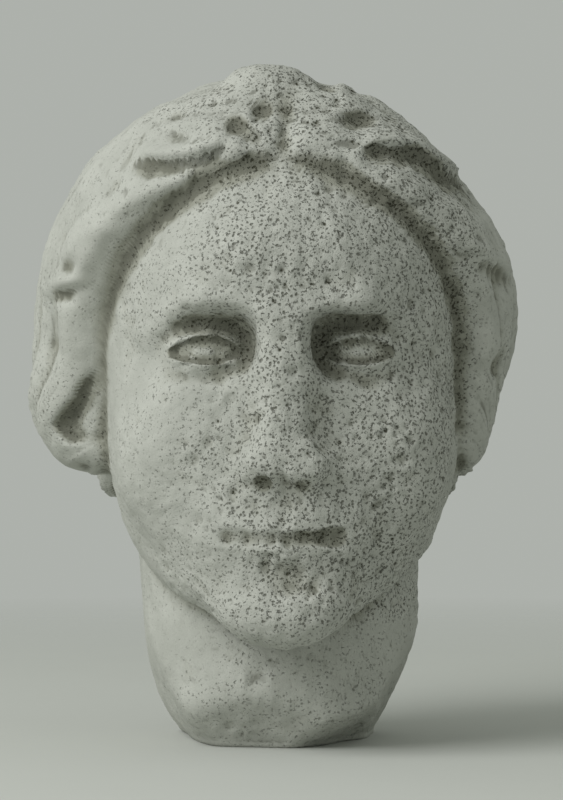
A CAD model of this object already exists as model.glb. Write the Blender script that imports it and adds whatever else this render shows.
# A weathered limestone head with waved hair, broken off at the neck, on a pale table.
import math
import bmesh
import bpy
import numpy as np
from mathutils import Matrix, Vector, noise


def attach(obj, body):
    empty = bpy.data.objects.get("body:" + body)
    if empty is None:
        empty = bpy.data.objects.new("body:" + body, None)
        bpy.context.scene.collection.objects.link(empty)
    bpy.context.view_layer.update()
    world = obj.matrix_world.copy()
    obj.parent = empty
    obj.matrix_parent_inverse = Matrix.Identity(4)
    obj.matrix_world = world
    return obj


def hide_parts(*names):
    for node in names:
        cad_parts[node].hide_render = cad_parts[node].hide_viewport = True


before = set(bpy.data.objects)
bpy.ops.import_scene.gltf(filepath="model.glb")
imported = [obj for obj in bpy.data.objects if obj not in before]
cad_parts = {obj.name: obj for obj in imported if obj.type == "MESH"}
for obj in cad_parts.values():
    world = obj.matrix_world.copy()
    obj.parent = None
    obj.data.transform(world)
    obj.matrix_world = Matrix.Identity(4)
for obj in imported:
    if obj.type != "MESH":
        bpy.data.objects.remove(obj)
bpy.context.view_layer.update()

# Image and camera
IMAGE = (563, 800)
MM_PER_PIXEL = 0.42
CAMERA_AWAY = 1.5
CAMERA_AIM = Vector((-0.0006, 0.0, 0.1428))
CAMERA_CLIMB = 0.0

# Driving sizes in millimetres, as in the solid
MM = 0.001
HEIGHT = 284
CHIN_Z = 44
FACE_WIDTH = 150
HAIR_WIDTH = 202
HAIR_DEPTH = 214
NECK_WIDTH = 118
HEAD = HEIGHT - CHIN_Z
THIRD = 0.275 * HEAD
EYE_Z = CHIN_Z + HEAD / 2
NOSE_Z = CHIN_Z + THIRD
BROW_Z = CHIN_Z + 2 * THIRD
HAIRLINE_Z = CHIN_Z + 3 * THIRD
MOUTH_Z = NOSE_Z - THIRD / 3
EYE_WIDTH = FACE_WIDTH / 5


def camera():
    data = bpy.data.cameras.new("camera")
    data.sensor_fit = "VERTICAL"
    data.sensor_height = 36
    data.lens = 36 * CAMERA_AWAY / (IMAGE[1] * MM_PER_PIXEL * MM)
    seen = bpy.data.objects.new("camera", data)
    bpy.context.collection.objects.link(seen)
    climb = math.radians(CAMERA_CLIMB)
    away = Vector((0, -math.cos(climb), math.sin(climb)))
    seen.location = CAMERA_AIM + CAMERA_AWAY * away
    seen.rotation_euler = (-away).to_track_quat("-Z", "Y").to_euler()
    bpy.context.scene.camera = seen


camera()


# Blending of carved forms: each form gives millimetres outside its surface, negative inside
def join(a, b, k):
    return np.minimum(a, b) - np.maximum(k - np.abs(a - b), 0) ** 2 / (4 * k)


def meet(a, b, k):
    return -join(-a, -b, k)


def carve(a, b, k):
    return meet(a, -b, k)


def egg(p, centre, radii):
    near = np.sqrt(sum(((a - c) / r) ** 2 for a, c, r in zip(p, centre, radii)))
    slope = np.sqrt(sum(((a - c) / r**2) ** 2 for a, c, r in zip(p, centre, radii)))
    return near * (near - 1) / np.maximum(slope, 1e-6)


def rod(p, start, end, start_radius, end_radius):
    run = [b - a for a, b in zip(start, end)]
    t = sum((c - a) * r for c, a, r in zip(p, start, run)) / sum(r * r for r in run)
    t = np.clip(t, 0, 1)
    off = sum((c - a - t * r) ** 2 for c, a, r in zip(p, start, run))
    return np.sqrt(off) - (start_radius + (end_radius - start_radius) * t)


def past(p, point, normal):
    size = math.sqrt(sum(n * n for n in normal))
    return sum((a - c) * n for a, c, n in zip(p, point, normal)) / size


def ease(value, low, high):
    t = np.clip((value - low) / (high - low), 0, 1)
    return t * t * (3 - 2 * t)


def between(stations, at, pick):
    places = np.array([row[0] for row in stations], float)
    values = np.array([row[pick] for row in stations], float)
    slopes = np.empty_like(values)
    slopes[1:-1] = (values[2:] - values[:-2]) / (places[2:] - places[:-2])
    slopes[0] = (values[1] - values[0]) / (places[1] - places[0])
    slopes[-1] = (values[-1] - values[-2]) / (places[-1] - places[-2])
    s = np.clip(at, places[0], places[-1])
    i = np.clip(np.searchsorted(places, s) - 1, 0, len(places) - 2)
    span = places[i + 1] - places[i]
    t = (s - places[i]) / span
    rise = values[i + 1] - values[i]
    first = (slopes[i] * span - rise) * t * (1 - t) ** 2
    second = (rise - slopes[i + 1] * span) * t * t * (1 - t)
    return values[i] + rise * t + first + second


# The face
MIDLINE = [
    (CHIN_Z - 6, 82),
    (CHIN_Z + 10, 90),
    (MOUTH_Z - 14, 88),
    (MOUTH_Z, 89),
    (NOSE_Z, 90),
    (EYE_Z, 89),
    (BROW_Z + 4, 95),
    (BROW_Z + 36, 95),
    (HAIRLINE_Z, 84),
]
OVAL_Z = CHIN_Z + 106
OVAL_HALF = 108
OVAL_FULL = 2.3
FACE_BACK_Y = -6
FACE_SQUARE = 2.2


def face_mask(p):
    x, y, z = p
    rise = np.minimum(np.abs(z - OVAL_Z) / OVAL_HALF, 0.985)
    half = FACE_WIDTH / 2 * (1 - rise**OVAL_FULL) ** (1 / OVAL_FULL)
    depth = between(MIDLINE, z, 1) + FACE_BACK_Y
    v = y - FACE_BACK_Y
    q = ((np.abs(x) / half) ** FACE_SQUARE + (np.abs(v) / depth) ** FACE_SQUARE) ** (1 / FACE_SQUARE)
    across = np.hypot(x, v) * (1 - 1 / np.maximum(q, 1e-3))
    jaw = past(p, (0, -86, CHIN_Z), (0, 0.36, -1))
    mask = meet(meet(across, jaw, 14), z - BROW_Z - 42, 20)
    return meet(mask, y - 20, 20)


def skull(p):
    return egg(p, (0, 4, HEIGHT - 96), (76, 98, 88))


def almond(s, z, centre, half, rise, drop):
    """How far outside an eye opening: two arcs that meet at its corners."""
    upper = (half**2 + rise**2) / (2 * rise)
    lower = (half**2 + drop**2) / (2 * drop)
    top = np.hypot(s - centre[0], z - centre[1] + upper - rise) - upper
    base = np.hypot(s - centre[0], z - centre[1] - lower + drop) - lower
    return np.maximum(top, base)


def eyes_and_cheeks(solid, p):
    x, y, z = p
    s = np.abs(x)
    q = (s, y, z)
    d = join(solid, egg(q, (40, -56, NOSE_Z + 13), (27, 23, 32)), 16)
    d = join(d, rod(q, (8, -89, BROW_Z - 3), (30, -85, BROW_Z + 4), 8, 6.5), 9)
    d = join(d, rod(q, (30, -85, BROW_Z + 4), (56, -65, BROW_Z - 7), 6.5, 2.5), 9)
    d = carve(d, egg(q, (32, -95, EYE_Z - 1), (21, 24, 13.5)), 9)
    d = carve(d, egg(q, (19, -93, EYE_Z + 1), (10, 18, 10)), 8)
    ball = egg(q, (EYE_WIDTH + 1, -67, EYE_Z - 2), (15.5, 15, 12))
    lids = egg(q, (EYE_WIDTH + 1, -67, EYE_Z - 2), (19, 18.4, 14.5))
    gap = almond(s, z, (EYE_WIDTH, EYE_Z - 2.5), EYE_WIDTH / 2 + 0.5, 5.5, 4)
    d = join(d, carve(lids, gap, 1.5), 3)
    d = join(d, ball, 1)
    return carve(d, egg(q, (15, -83, EYE_Z - 3), (2.6, 7, 2.2)), 2.5)


def broken_nose(solid, p):
    x, y, z = p
    s = np.abs(x)
    q = (s, y, z)
    bridge = rod(p, (0, -86, BROW_Z - 2), (0, -89, NOSE_Z + 14), 9, 13)
    wings = egg(q, (9, -87, NOSE_Z + 7), (9.5, 13, 9))
    nose = join(bridge, wings, 8)
    break_plane = past(p, (0, -99.5, EYE_Z - 26), (0.12, -1, 0.04))
    d = join(solid, meet(nose, break_plane, 3), 8)
    return carve(d, rod(q, (8, -95, NOSE_Z - 1), (6.5, -88, NOSE_Z + 6), 2.4, 1.4), 3)


def mouth_and_chin(solid, p):
    x, y, z = p
    q = (np.abs(x), y, z)
    d = join(solid, egg(p, (0, -75, MOUTH_Z + 2), (32, 17, 20)), 12)
    d = join(d, egg(p, (0, -77, CHIN_Z + 16), (24, 16, 15)), 12)
    d = join(d, rod(q, (3, -90, MOUTH_Z + 5), (17, -86, MOUTH_Z + 2), 4.6, 2.8), 4)
    d = join(d, rod(q, (0, -89.5, MOUTH_Z - 6), (14, -85.5, MOUTH_Z - 3.5), 5.2, 3), 4)
    d = carve(d, rod(q, (0, -95.8, MOUTH_Z - 0.3), (21, -89.5, MOUTH_Z + 0.2), 1.1, 0.8), 3)
    d = carve(d, rod(q, (18, -92, MOUTH_Z + 0.3), (23, -88.5, MOUTH_Z + 0.3), 1, 1.7), 5)
    d = carve(d, rod(p, (0, -98, NOSE_Z - 6), (0, -97, MOUTH_Z + 10), 1.5, 2.6), 5)
    return carve(d, egg(p, (0, -97, MOUTH_Z - 16), (16, 5.5, 4)), 7)


BREAKS = [
    ((-56, -20, 42), (-0.94, -0.12, -0.34), 5),
    ((-44, -20, 12), (-0.8, -0.15, -0.6), 4),
    ((-37, -20, 4.5), (-0.6, -0.15, -0.8), 4),
    ((53, 0, 36), (0.9, -0.1, -0.44), 4),
    ((-4, -48, 17), (-0.14, -0.8, -0.6), 5),
    ((0, 60, 12), (0.1, 0.7, -0.8), 5),
]


def neck(p):
    x, y, z = p
    half = NECK_WIDTH / 2
    flare = 0.0006 * (z - 50) ** 2
    lean = y - 8 - 0.1 * (z - 40)
    d = np.hypot((x + 2) / half, lean / (half - 1)) * (half - 1) - (half - 1) - flare
    d = meet(d, z - 140, 20)
    for point, normal, softness in BREAKS:
        d = meet(d, past(p, point, normal), softness)
    d = carve(d, egg(p, (-11, -57, 30), (7.5, 8.5, 7.5)), 1.5)
    to_corner = 0.8 * x - 0.6 * y
    lift = 0.6 * np.maximum(to_corner - 22, 0)
    uneven = 1.2 * np.sin(x / 9 + 0.6) * np.sin(y / 11 + z / 40)
    return meet(d, lift + uneven - 2.2 - z, 3)


# The hair
HAIR_EDGE = [
    (NOSE_Z - 10, 84, -20),
    (NOSE_Z + 24, 81, -26),
    (EYE_Z - 7, 75, -34),
    (EYE_Z + 16, 71, -43),
    (BROW_Z + 20, 66, -54),
    (BROW_Z + 41, 50, -70),
    (BROW_Z + 53, 32, -80.5),
    (HAIRLINE_Z - 4, 14, -86),
    (HAIRLINE_Z, 0, -90),
]
HAIR_CENTRE = (-2, 11, 184)
HAIR_TOP = 279
HAIR_END_Z = 106
MIDDLE = Vector((0, 3, 163))
BEHIND_EAR = Vector((85, 12, 112))
PARTING_FRONT = Vector((0, -82, HAIRLINE_Z))
STRAND_LINE = (BEHIND_EAR - MIDDLE).normalized()
STRAND_UP = (PARTING_FRONT - MIDDLE) - (PARTING_FRONT - MIDDLE).dot(STRAND_LINE) * STRAND_LINE
STRAND_UP.normalize()
STRAND_BACK = STRAND_UP.cross(STRAND_LINE)
LOCK_ANGLE = math.radians(21)
WAVE_ANGLE = math.radians(4.5)
WAVE_LENGTH = 62
LOCK_DEPTH = 4
FRONT_LOCK_SHARE = 0.45
STRANDS_PER_LOCK = 4
STRAND_DEPTH = 0.5

# Grooves between the front locks as seen from the front: points in x and z, then the depth, the width
# of the steep bank on the left of the path and of the easy bank on its right, and the swell of that lock
GROOVES = [
    ([(-24, 242), (-34, 238), (-44, 236.5), (-58, 238)], 4, 2.2, 7, 2.5),
    ([(-32, 231), (-45, 223), (-52, 219), (-66, 213)], 2.8, 2.6, 7, 1.5),
    ([(-54, 214), (-60, 208), (-70, 198), (-79, 188), (-93, 185)], 4.5, 2.6, 7, 2),
    ([(-62, 203), (-66, 191), (-71, 181), (-77, 176)], 3.5, 3, 4, 1.5),
    ([(-98, 186), (-95, 174), (-95, 162)], 1.5, 2.5, 3, 0.5),
    ([(84, 227), (74, 233), (64, 235), (55, 242), (34, 243)], 4.5, 2.6, 8, 2.5),
    ([(95, 192), (80, 197), (66, 203)], 2.5, 3, 8, 1.5),
    ([(92, 160), (84, 155), (74, 158)], 3, 4, 5, 1.5),
    ([(-92, 131), (-84, 142), (-75, 158)], 7, 2.5, 12, 2),
]

# Eroded hollows in the hair as seen from the front: middle in x and z, half sizes, depth
HOLLOWS = [
    (-8, 259, 4, 3.5, 4.5),
    (-18, 253, 4.5, 3.5, 4.5),
    (-11, 248, 5, 4, 4),
    (-43, 249, 5, 3, 2.5),
    (31, 256.5, 7, 3.6, 5),
    (26, 246, 5, 2, 2),
    (-87, 196, 4, 5, 4),
    (77, 174, 3.5, 3.5, 5),
    (-87, 127, 5, 3, 3),
    (-83, 114, 4, 3, 4),
    (-75, 112, 3, 3, 4),
    (74, 115, 3, 4, 4),
    (19, 272, 4, 2.4, 3.5),
    (29, 270.5, 4, 2, 3),
]


def dot3(p, axis):
    return p[0] * axis[0] + p[1] * axis[1] + p[2] * axis[2]


def locks(p):
    x, y, z = p
    q = (np.abs(x) - MIDDLE.x, y - MIDDLE.y, z - MIDDLE.z)
    up = dot3(q, STRAND_UP)
    back = dot3(q, STRAND_BACK)
    along = dot3(q, STRAND_LINE)
    wave = WAVE_ANGLE * np.sin(2 * math.pi * along / WAVE_LENGTH + 0.8 * np.sign(x))
    turn = np.arctan2(back, up) + wave
    ridge = np.abs(np.sin(math.pi * turn / LOCK_ANGLE))
    fine = np.sin(2 * math.pi * STRANDS_PER_LOCK * turn / LOCK_ANGLE)
    gathered = ease(np.hypot(up, back), 12, 45)
    relief = LOCK_DEPTH * (ridge - 0.6) * gathered + STRAND_DEPTH * fine * gathered
    return relief * (1 - (1 - FRONT_LOCK_SHARE) * ease(-y, -25, 15))


def bank(x, z, path):
    """Distance from a path drawn from the front, negative on its right."""
    nearest = np.full_like(x, np.inf)
    side = np.ones_like(x)
    for (ax, az), (bx, bz) in zip(path, path[1:]):
        dx, dz = bx - ax, bz - az
        t = np.clip(((x - ax) * dx + (z - az) * dz) / (dx * dx + dz * dz), 0, 1)
        off = np.hypot(x - ax - t * dx, z - az - t * dz)
        turned = np.sign(dx * (z - az) - dz * (x - ax))
        side = np.where(off < nearest, turned, side)
        nearest = np.minimum(nearest, off)
    return nearest * side


def taper(x, z, path, reach):
    """One along a path, easing to nothing past its ends."""
    (ax, az), (bx, bz) = path[0], path[-1]
    length = math.hypot(bx - ax, bz - az)
    along = ((x - ax) * (bx - ax) + (z - az) * (bz - az)) / length
    return ease(along, -reach, reach) * ease(length - along, -reach, reach)


def front_relief(p):
    """How deep the grooves and hollows of the front sink into the hair."""
    x, y, z = p
    sunk = np.zeros_like(x)
    for path, depth, steep, easy, swell_up in GROOVES:
        off = bank(x, z, path) * np.where(path[0][0] > path[-1][0], -1, 1)
        width = np.where(off > 0, steep, easy)
        groove = depth * np.exp(-((off / width) ** 2))
        lock = swell_up * np.exp(-(((off - 2.2 * steep) / (1.6 * steep)) ** 2))
        sunk = sunk + (groove - lock) * taper(x, z, path, 5)
    for hx, hz, half_x, half_z, depth in HOLLOWS:
        sunk = sunk + depth * np.exp(-(((x - hx) / half_x) ** 2) - ((z - hz) / half_z) ** 2)
    return sunk * ease(-y, -14, 12)


def knot(p):
    x, y, z = p
    coil = egg(p, (0, 98, 126), (42, 27, 29))
    out = np.hypot(x, z - 126)
    return coil - 1.8 * np.sin(out / 3.2 + np.arctan2(z - 126, x)) * ease(out, 4, 12)


def crown_lump(p):
    x, y, z = p
    lump = egg(p, (-6, -32, HEIGHT - 21), (24, 22, 20.5))
    second = egg(p, (21, -30, HEIGHT - 27), (13, 20, 16))
    return join(meet(lump, x - 13.5, 3), second, 3)


def hair(p):
    x, y, z = p
    cx, cy, cz = HAIR_CENTRE
    d = egg(p, HAIR_CENTRE, (HAIR_WIDTH / 2, HAIR_DEPTH / 2, HAIR_TOP - cz))
    d = join(d, egg(p, (cx, -28, cz + 18), (86, 62, 72)), 10)
    d = meet(d, past(p, (66, 0, 248), (0.77, 0, 0.64)), 14)
    d = join(d, egg(p, (-72, 4, 146), (34, 36, 40)), 10)
    d = join(d, egg(p, (65, 6, 142), (26, 32, 34)), 10)
    d = meet(d, past(p, (0, 20, HAIR_END_Z), (0, 0.1, -1)), 14)
    d = join(d, egg(p, (-1, 52, 122), (86, 48, 38)), 5)
    d = d - locks(p)
    d = d + front_relief(p)
    d = d + 3 * np.exp(-((x / 6) ** 2)) * ease(-y, -20, 20) * ease(y, -80, -55)
    d = join(d, knot(p), 5)
    d = join(d, crown_lump(p), 5)
    opening = meet(np.abs(x) - between(HAIR_EDGE, z, 1) + 0.5 * np.clip(y + 75, -20, 60), y + 12, 8)
    front = between(HAIR_EDGE, z, 2) - y
    edge_softness = 6 + 10 * ease(z, BROW_Z + 24, BROW_Z + 54)
    return meet(carve(d, opening, edge_softness), front, 8)


def swell(p):
    x, y, z = p
    first = 0.8 * np.sin(x / 13.7 + 0.4 * np.sin(z / 17)) * np.sin(y / 11.3 + 1.3)
    return first + 0.7 * np.sin(z / 9.1 + 2.1 + 0.7 * np.sin(x / 15)) * np.sin(x / 16.9 - y / 21)


def stone(p):
    d = join(face_mask(p), skull(p), 12)
    d = eyes_and_cheeks(d, p)
    d = broken_nose(d, p)
    d = mouth_and_chin(d, p)
    d = join(d, hair(p), 2)
    return join(d, neck(p), 4) + swell(p)


# The mesh: a box turned into a ball whose points are pushed in to the stone
COLUMNS = 52
ROWS = 93
AXIS_Y = 5
RAYS = [
    (0, 60, -90),
    (0.12, 62, -58),
    (0.2, 66, -42),
    (0.27, 96, -36),
    (0.32, 107, -34),
    (0.62, 165, 0),
    (0.8, 176, 38),
    (1, 178, 90),
]
FRONT_PULL = 0.38
RAY_START = 190
RAY_STEP = 3
SETTLE_ROUNDS = 14


def ball_of_squares():
    bm = bmesh.new()
    bmesh.ops.create_cube(bm, size=2)
    upright = [e for e in bm.edges if abs(e.verts[0].co.z - e.verts[1].co.z) > 1]
    bmesh.ops.subdivide_edges(bm, edges=upright, cuts=ROWS - 1)
    level = [e for e in bm.edges if abs(e.verts[0].co.z - e.verts[1].co.z) < 1e-4]
    bmesh.ops.subdivide_edges(bm, edges=level, cuts=COLUMNS - 1, use_grid_fill=True)
    return bm


def get_points(mesh):
    points = np.empty(len(mesh.vertices) * 3, np.float32)
    mesh.vertices.foreach_get("co", points)
    return points.reshape(-1, 3).astype(float)


def set_points(mesh, points):
    mesh.vertices.foreach_set("co", points.astype(np.float32).ravel())
    mesh.update()


def get_normals(mesh):
    normals = np.empty(len(mesh.vertices) * 3, np.float32)
    mesh.vertex_normals.foreach_get("vector", normals)
    return normals.reshape(-1, 3).astype(float)


def cast_to_stone(cube):
    bent = np.tan(cube * math.pi / 4)
    unit = bent / np.linalg.norm(bent, axis=1)[:, None]
    round_ = np.arctan2(unit[:, 0], -unit[:, 1])
    azimuth = round_ - FRONT_PULL * np.sin(round_)
    share = 0.5 + np.arcsin(np.clip(unit[:, 2], -1, 1)) / math.pi
    climb = np.radians(between(RAYS, share, 2))
    start = np.stack([0 * share, 0 * share + AXIS_Y, between(RAYS, share, 1)], 1)
    level = np.cos(climb)
    run = np.stack([np.sin(azimuth) * level, -np.cos(azimuth) * level, np.sin(climb)], 1)
    outside = np.full(len(cube), float(RAY_START))
    searching = np.arange(len(cube))
    while len(searching):
        nearer = outside[searching] - RAY_STEP
        places = start[searching] + run[searching] * nearer[:, None]
        free = (stone(tuple(places.T)) > 0) & (nearer > 0)
        outside[searching[free]] = nearer[free]
        searching = searching[free]
    inside = outside - RAY_STEP
    for _ in range(8):
        middle = (inside + outside) / 2
        out = stone(tuple((start + run * middle[:, None]).T)) > 0
        outside = np.where(out, middle, outside)
        inside = np.where(out, inside, middle)
    return start + run * outside[:, None]


def slope_of(form, points, step=0.3):
    slopes = []
    for axis in range(3):
        shift = np.zeros(3)
        shift[axis] = step
        ahead = form(tuple((points + shift).T))
        behind = form(tuple((points - shift).T))
        slopes.append((ahead - behind) / (2 * step))
    return np.stack(slopes, 1)


def lay_on_stone(points):
    slope = slope_of(stone, points)
    size = np.maximum((slope**2).sum(1), 0.1)
    off = np.clip(stone(tuple(points.T)) / size, -1.5, 1.5)
    return points - slope * off[:, None]


class Neighbours:
    """Averages any value over the points that share an edge with each point."""

    def __init__(self, mesh):
        pairs = np.empty(len(mesh.edges) * 2, np.int32)
        mesh.edges.foreach_get("vertices", pairs)
        a, b = pairs.reshape(-1, 2).T
        self.to = np.r_[a, b]
        self.of = np.r_[b, a]
        self.size = len(mesh.vertices)
        self.count = np.bincount(self.to, minlength=self.size).astype(float)

    def mean(self, values):
        if values.ndim == 1:
            return np.bincount(self.to, weights=values[self.of], minlength=self.size) / self.count
        return np.stack([self.mean(column) for column in values.T], 1)


def settle(mesh, points, rounds):
    """Evens out the mesh along the surface and lays every point back on the stone."""
    around = Neighbours(mesh)
    for _ in range(rounds):
        points = lay_on_stone(0.4 * points + 0.6 * around.mean(points))
    return points


# Weathering of the finished surface, in millimetres
ROUGH_MIDDLE = 42
LUMPS = [(26, 1.1), (11, 0.9), (5, 0.7), (2.8, 0.45)]
PIT_CELLS = [(9, 1.6), (4.6, 1.1)]


def noise_at(points, size, seed):
    shift = Vector((3.7 * seed, 9.1 * seed, 5.3 * seed))
    return np.array([noise.noise(Vector(q) / size + shift) for q in points])


def cells_at(points, size, seed):
    shift = Vector((7.3 * seed, 2.9 * seed, 4.1 * seed))
    return np.array([noise.voronoi(Vector(q) / size + shift)[0][0] for q in points])


def rough_at(points):
    """How coarse the weather has left the stone, from 0 to 1."""
    x, y, z = points.T
    rough = 0.3 + 0.55 * np.exp(-(((x - 8) / ROUGH_MIDDLE) ** 2)) * ease(-y, -20, 40)
    rough = rough + 0.35 * ease(x, 20, 45) * ease(84 - x, 0, 12) - 0.12 * ease(-x, 40, 75)
    rough = rough * (1 - 0.5 * ease(60 - z, 0, 12))
    return np.clip(rough + 0.3 * noise_at(points, 34, 11), 0.08, 1)


def weather(points, normals):
    rough = rough_at(points)
    sunk = np.zeros(len(points))
    for seed, (size, height) in enumerate(LUMPS):
        sunk += height * (0.5 - noise_at(points, size, seed)) * (0.35 + 0.65 * rough)
    for seed, (size, depth) in enumerate(PIT_CELLS):
        near = cells_at(points, size, seed + 5)
        here = ease(noise_at(points, 3.1 * size, seed + 7), -0.15, 0.3)
        sunk += depth * ease(0.42 - near, 0, 0.3) * here * rough
    seat = ease(points[:, 2], 0.2, 2)
    return points - normals * (np.maximum(sunk, 0) * seat)[:, None], rough


def carved_head():
    bm = ball_of_squares()
    mesh = bpy.data.meshes.new("carved_head_stone")
    bm.to_mesh(mesh)
    points = settle(mesh, cast_to_stone(get_points(mesh)), SETTLE_ROUNDS)
    set_points(mesh, points)
    bm.clear()
    bm.from_mesh(mesh)
    bmesh.ops.subdivide_edges(bm, edges=bm.edges[:], cuts=1, use_grid_fill=True)
    bm.to_mesh(mesh)
    bm.free()
    points = settle(mesh, get_points(mesh), 2)
    points[:, 2] = np.maximum(points[:, 2], 0)
    set_points(mesh, points)
    points, rough = weather(points, get_normals(mesh))
    set_points(mesh, points)
    around = Neighbours(mesh)
    normals = get_normals(mesh)
    hollow = ((around.mean(points) - points) * normals).sum(1)
    wide = hollow
    for _ in range(6):
        wide = around.mean(wide)
    for name, values in (("hollow", hollow), ("wide_hollow", wide), ("rough", rough)):
        mesh.attributes.new(name, "FLOAT", "POINT").data.foreach_set("value", values.astype(np.float32))
    set_points(mesh, points * MM)
    piece = bpy.data.objects.new("carved_head_stone", mesh)
    bpy.context.collection.objects.link(piece)
    mesh.shade_smooth()
    return piece


# Materials
class Number:
    """A number that changes over the surface: an expression on it adds Math nodes."""

    def __init__(self, tree, socket):
        self.tree = tree
        self.socket = socket

    def sum_up(self, operation, first, second, clamp=False):
        made = self.tree.nodes.new("ShaderNodeMath")
        made.operation = operation
        made.use_clamp = clamp
        for socket, value in zip(made.inputs, (first, second)):
            if isinstance(value, Number):
                self.tree.links.new(value.socket, socket)
            else:
                socket.default_value = value
        return Number(self.tree, made.outputs[0])

    def __add__(self, other):
        return self.sum_up("ADD", self, other)

    def __radd__(self, other):
        return self.sum_up("ADD", other, self)

    def __sub__(self, other):
        return self.sum_up("SUBTRACT", self, other)

    def __rsub__(self, other):
        return self.sum_up("SUBTRACT", other, self)

    def __mul__(self, other):
        return self.sum_up("MULTIPLY", self, other)

    def __rmul__(self, other):
        return self.sum_up("MULTIPLY", other, self)

    def __truediv__(self, other):
        return self.sum_up("DIVIDE", self, other)

    def clamped(self):
        return self.sum_up("ADD", self, 0, clamp=True)

    def larger(self, other):
        return self.sum_up("MAXIMUM", self, other)


class Finish:
    """One procedural material and the ways to add nodes to it."""

    def __init__(self, name):
        self.material = bpy.data.materials.new(name)
        self.material.use_nodes = True
        self.tree = self.material.node_tree
        self.shader = self.tree.nodes["Principled BSDF"]

    def node(self, kind, settings, inputs):
        made = self.tree.nodes.new(kind)
        for name, value in settings.items():
            setattr(made, name, value)
        self.feed(made, inputs)
        return made

    def feed(self, node, inputs):
        for name, value in inputs.items():
            value = value.socket if isinstance(value, Number) else value
            if isinstance(value, bpy.types.NodeSocket):
                self.tree.links.new(value, node.inputs[name])
            else:
                node.inputs[name].default_value = value

    def place(self):
        return self.node("ShaderNodeTexCoord", {}, {}).outputs["Object"]

    def attribute(self, name):
        made = self.node("ShaderNodeAttribute", {"attribute_name": name}, {})
        return Number(self.tree, made.outputs["Fac"])

    def cloud(self, place, size_mm, detail=2.0, harsh=0.5):
        inputs = {"Vector": place, "Scale": 1000 / size_mm, "Detail": detail, "Roughness": harsh}
        made = self.node("ShaderNodeTexNoise", {}, inputs)
        return Number(self.tree, made.outputs["Fac"])

    def cells(self, place, size_mm):
        inputs = {"Vector": place, "Scale": 1000 / size_mm}
        made = self.node("ShaderNodeTexVoronoi", {"feature": "F1"}, inputs)
        return Number(self.tree, made.outputs["Distance"]), made.outputs["Color"]

    def blend(self, factor, first, second):
        inputs = {0: factor, 6: first, 7: second}
        made = self.node("ShaderNodeMix", {"data_type": "RGBA"}, inputs)
        return made.outputs[2]

    def bump(self, height, depth_mm, strength=1.0):
        inputs = {"Height": height, "Distance": depth_mm * MM, "Strength": strength}
        made = self.node("ShaderNodeBump", {}, inputs)
        return made.outputs["Normal"]


def band(value, low, high):
    """Zero below low, one above high, straight between."""
    return ((value - low) / (high - low)).clamped()


PALE_STONE = (0.5, 0.51, 0.465, 1)
MID_STONE = (0.4, 0.41, 0.37, 1)
OLIVE_STAIN = (0.2, 0.2, 0.15, 1)
PIT_DIRT = (0.075, 0.075, 0.052, 1)


def limestone():
    stone_finish = Finish("porous_limestone")
    place = stone_finish.place()
    rough = stone_finish.attribute("rough")
    hollow = stone_finish.attribute("hollow")
    wide = stone_finish.attribute("wide_hollow")
    grain = stone_finish.cloud(place, 0.55, 2, 0.6)
    crumbs = stone_finish.cloud(place, 1.25, 3, 0.6)
    patches = stone_finish.cloud(place, 17, 3, 0.55)
    near, _ = stone_finish.cells(place, 2.3)
    often = band(rough * 0.9 + patches * 0.5, 0.3, 0.95)
    pores = band(crumbs + 0.07 * (1 - often), 0.43, 0.34)
    holes = band(near, 0.3, 0.12) * band(stone_finish.cloud(place, 5, 2) + 0.25 * often, 0.58, 0.7)
    pits = pores.larger(holes) * (0.25 + 0.75 * often)
    worn = band(grain, 0.3, 0.7) * 0.4 + band(patches, 0.35, 0.65) * 0.6
    colour = stone_finish.blend(worn, MID_STONE, PALE_STONE)
    stained = band(wide * 8 + patches - 0.5, 0.05, 0.75)
    colour = stone_finish.blend(stained * 0.6, colour, OLIVE_STAIN)
    dirty = (pits * 0.75 + band(hollow, 0.04, 0.3) * 0.5).clamped()
    colour = stone_finish.blend(dirty, colour, PIT_DIRT)
    height = (grain * 0.3 + crumbs * 0.45) * (0.4 + 0.6 * often) - pits * 0.8
    normal = stone_finish.bump(height, 0.75)
    stone_finish.feed(stone_finish.shader, {"Base Color": colour, "Normal": normal})
    stone_finish.shader.inputs["Roughness"].default_value = 0.95
    stone_finish.shader.inputs["Specular IOR Level"].default_value = 0.15
    return stone_finish.material


FLOOR_TONE = (0.55, 0.565, 0.53, 1)
FLOOR_CLEAR = 0.42
FLOOR_GONE = 1.1


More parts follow.
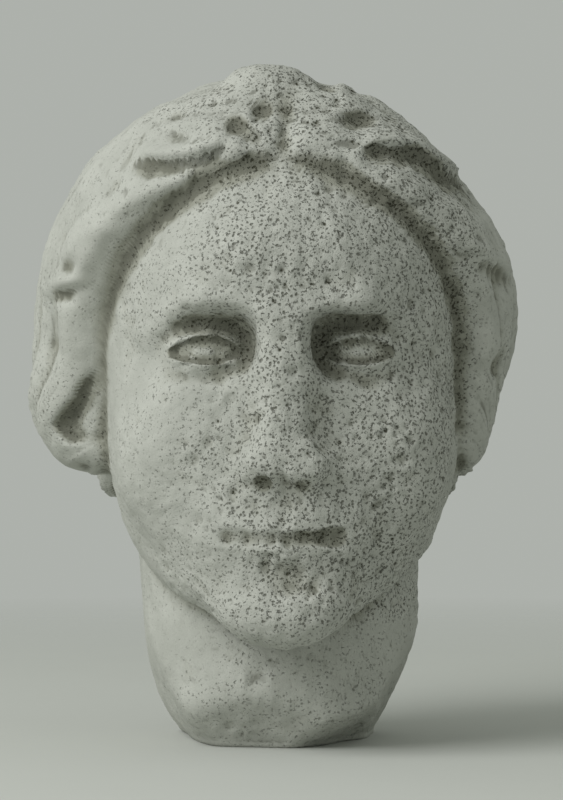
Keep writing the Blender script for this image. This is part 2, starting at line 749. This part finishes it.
def pale_paper():
    paper = Finish("pale_paper")
    place = paper.place()
    length = paper.node("ShaderNodeVectorMath", {"operation": "LENGTH"}, {0: place})
    away = Number(paper.tree, length.outputs["Value"])
    mottle = paper.cloud(place, 60, 3)
    colour = paper.blend(mottle * 0.25, FLOOR_TONE, (0.5, 0.51, 0.48, 1))
    paper.feed(paper.shader, {"Base Color": colour})
    paper.shader.inputs["Roughness"].default_value = 0.9
    paper.shader.inputs["Specular IOR Level"].default_value = 0.1
    clear = paper.node("ShaderNodeBsdfTransparent", {}, {})
    faded = band(away, FLOOR_CLEAR, FLOOR_GONE)
    mixed = paper.node("ShaderNodeMixShader", {}, {0: faded, 1: paper.shader.outputs[0], 2: clear.outputs[0]})
    out = paper.tree.nodes["Material Output"]
    paper.feed(out, {"Surface": mixed.outputs[0]})
    return paper.material


def floor():
    bm = bmesh.new()
    bmesh.ops.create_circle(bm, cap_ends=True, segments=96, radius=FLOOR_GONE + 0.1)
    mesh = bpy.data.meshes.new("table_top")
    bm.to_mesh(mesh)
    bm.free()
    top = bpy.data.objects.new("table_top", mesh)
    bpy.context.collection.objects.link(top)
    return top


def area_light(name, place, target, size, power):
    data = bpy.data.lights.new(name, "AREA")
    data.shape = "DISK"
    data.size = size
    data.energy = power
    lamp = bpy.data.objects.new(name, data)
    lamp.location = place
    lamp.rotation_euler = (Vector(target) - Vector(place)).to_track_quat("-Z", "Y").to_euler()
    bpy.context.collection.objects.link(lamp)


def room(colour, strength):
    world = bpy.data.worlds.new("room")
    world.use_nodes = True
    background = world.node_tree.nodes["Background"]
    background.inputs["Color"].default_value = colour
    background.inputs["Strength"].default_value = strength
    bpy.context.scene.world = world
    bpy.context.scene.view_settings.view_transform = "Standard"


head = carved_head()
head.data.materials.append(limestone())
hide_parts("carved_head")
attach(head, "root")
table = floor()
table.data.materials.append(pale_paper())
area_light("window", (-1.35, -1.05, 1.35), (0, 0, 0.15), 1.7, 34)
room((0.42, 0.44, 0.41, 1), 1.0)
